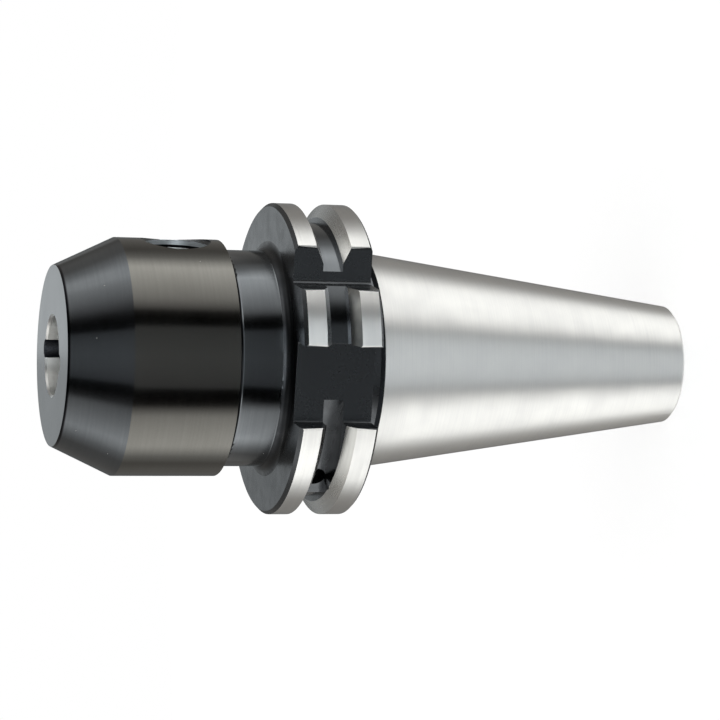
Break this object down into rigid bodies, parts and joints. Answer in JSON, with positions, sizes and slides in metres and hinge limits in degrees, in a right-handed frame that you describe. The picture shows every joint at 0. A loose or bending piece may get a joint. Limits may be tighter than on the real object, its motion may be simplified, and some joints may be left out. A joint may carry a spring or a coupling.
{
  "type": "endmill holder",
  "caption": "Side-lock endmill holder: 7:24 taper shank, flange with gripper groove and drive slots, and a nose with a plain tool bore closed on the tool's flat by one radial clamping screw.",
  "frame": {"origin": "centre of the taper's small end face, on which the holder stands", "axes": "+Z along the axis from the small end to the nose; +X along the clamping screw's axis, outwards; the shallower drive slot faces -Y"},
  "size_m": [0.0636, 0.0612, 0.1314],
  "materials": {
    "holder_steel": "case-hardened steel: taper, flange rim and groove flank ground bright, the rest black oxide",
    "screw_steel": "hardened steel, black oxide"
  },
  "bodies": {
    "holder": {"holder_body": "holder_steel"},
    "screw": {"clamp_screw": "screw_steel"}
  },
  "joints": [
    {"name": "clamp_screw_travel", "type": "slide", "parent": "holder", "child": "screw", "axis": [1, 0, 0], "range_m": [-0.0019, 0.004]}
  ]
}
